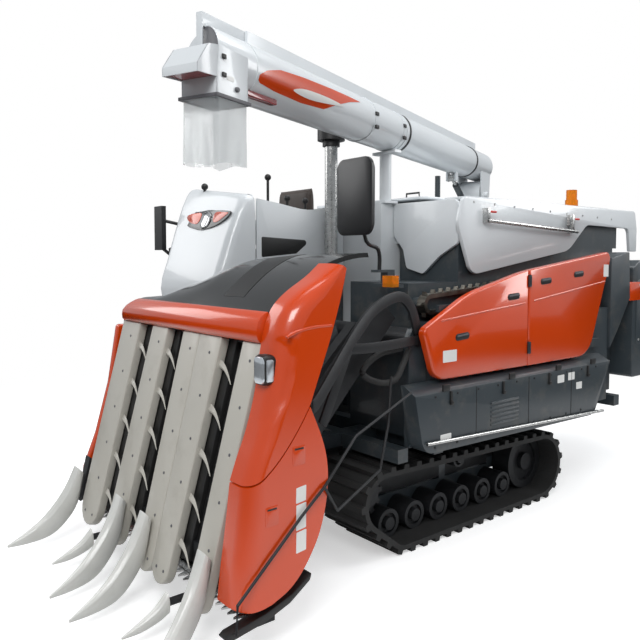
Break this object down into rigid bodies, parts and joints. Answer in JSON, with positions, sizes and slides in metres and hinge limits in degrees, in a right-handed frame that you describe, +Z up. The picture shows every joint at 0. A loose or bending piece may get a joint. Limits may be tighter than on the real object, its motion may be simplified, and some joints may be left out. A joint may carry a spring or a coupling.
{
  "type": "combine harvester",
  "caption": "Head-feeding combine harvester on rubber tracks, with a row header, side threshing unit, grain tank and swinging unloading auger.",
  "frame": {"origin": "on the ground under the middle of the bounding box", "axes": "+Z up, -Y towards the header at the front, +X towards the machine's left"},
  "size_m": [2.4, 4.8, 2.775],
  "materials": {
    "orange": "gloss paint",
    "cream": "satin paint",
    "white": "gloss paint",
    "slate": "satin paint",
    "black_gloss": "gloss",
    "black": "matte",
    "rubber": "matte",
    "dark_iron": "satin paint",
    "steel": "bare",
    "chain": "oiled",
    "seat": "grained vinyl",
    "amber": "clear tinted",
    "curtain": "translucent sheet",
    "mirror": "mirror in a black shell"
  },
  "bodies": {
    "chassis": {"track_left": "rubber", "track_right": "rubber", "rollers_left": "dark_iron", "rollers_right": "dark_iron", "sprockets": "dark_iron", "track_frames": "slate", "chassis_frame": "slate", "transmission": "dark_iron", "engine_block": "dark_iron", "engine_cover": "slate", "operator_base": "slate", "console_tower": "white", "side_wall": "white", "levers": "black", "seat": "seat", "intake_pipe": "steel", "intake_cap": "black", "grain_tank": "white", "tank_panel": "white", "thresher_body": "slate", "feed_chain": "chain", "cover_frame": "slate", "lower_side_box": "slate", "rear_column": "slate", "straw_cutter": "orange", "beacon": "amber", "mirror_left": "mirror", "mirror_post": "slate", "turn_lamp": "amber", "mirror_right": "mirror", "auger_base": "white", "auger_rest": "white", "stay_post": "slate"},
    "header": {"header_frame": "slate", "header_pipe": "slate", "cutter_bar": "steel", "crossbar": "orange", "hood": "black_gloss", "header_cover_upper": "orange", "header_cover_lower": "orange", "header_cover_right": "orange", "header_lamp": "black", "stalk_conveyor": "slate", "front_plates": "cream", "tines": "cream", "dividers": "cream"},
    "header_cylinder_barrel": {"header_cylinder_barrel": "slate"},
    "header_cylinder_rod": {"header_cylinder_rod": "steel"},
    "drum_cover": {"drum_cover": "white", "cover_bar": "steel"},
    "side_cover_front": {"side_cover_front": "orange"},
    "side_cover_rear": {"side_cover_rear": "orange"},
    "auger_turret": {"auger_column": "white"},
    "auger_boom": {"auger_tube": "white", "auger_rib": "white", "spout": "white", "spout_curtain": "curtain"},
    "auger_cylinder_barrel": {"auger_cylinder_barrel": "slate"},
    "auger_cylinder_rod": {"auger_cylinder_rod": "steel"}
  },
  "joints": [
    {"name": "header_lift", "type": "hinge", "parent": "chassis", "child": "header", "pos_m": [0.2, -0.58, 1.25], "axis": [-1, 0, 0], "range_deg": [0, 25]},
    {"name": "header_cylinder_swing", "type": "hinge", "parent": "chassis", "child": "header_cylinder_barrel", "pos_m": [0.2, -0.985, 0.4], "axis": [1, 0, 0], "range_deg": [0, 17.2]},
    {"name": "header_cylinder_slide", "type": "slide", "parent": "header_cylinder_barrel", "child": "header_cylinder_rod", "axis": [0, 0.1939, 0.981], "range_m": [0, 0.17]},
    {"name": "auger_swing", "type": "hinge", "parent": "chassis", "child": "auger_turret", "pos_m": [-0.6, 1.77, 2], "axis": [0, 0, 1], "range_deg": [0, 250]},
    {"name": "auger_lift", "type": "hinge", "parent": "auger_turret", "child": "auger_boom", "pos_m": [-0.6, 1.77, 2.3], "axis": [-0.9328, -0.3603, 0], "range_deg": [0, 45]},
    {"name": "auger_cylinder_swing", "type": "hinge", "parent": "auger_turret", "child": "auger_cylinder_barrel", "pos_m": [-0.53695, 1.60676, 2.16], "axis": [-0.9328, -0.3603, 0], "range_deg": [0, 45.2]},
    {"name": "auger_cylinder_slide", "type": "slide", "parent": "auger_cylinder_barrel", "child": "auger_cylinder_rod", "axis": [0.3156, -0.8172, 0.4823], "range_m": [0, 0.172]},
    {"name": "drum_cover_hinge", "type": "hinge", "parent": "chassis", "child": "drum_cover", "pos_m": [0.552, 0.9, 2.113], "axis": [0, -1, 0], "range_deg": [0, 60]},
    {"name": "side_cover_front_hinge", "type": "hinge", "parent": "chassis", "child": "side_cover_front", "pos_m": [0.964, 0.361, 1.3], "axis": [0, 0, 1], "range_deg": [0, 80]},
    {"name": "side_cover_rear_hinge", "type": "hinge", "parent": "chassis", "child": "side_cover_rear", "pos_m": [0.964, 0.379, 1.3], "axis": [0, 0, -1], "range_deg": [0, 80]}
  ],
  "couplings": [
    {"joint": "header_cylinder_swing", "follows": "header_lift", "ratio": 0.68342},
    {"joint": "header_cylinder_slide", "follows": "header_lift", "m_per_rad": 0.38845},
    {"joint": "auger_cylinder_swing", "follows": "auger_lift", "ratio": 1},
    {"joint": "auger_cylinder_slide", "follows": "auger_lift", "m_per_rad": 0.21839}
  ]
}
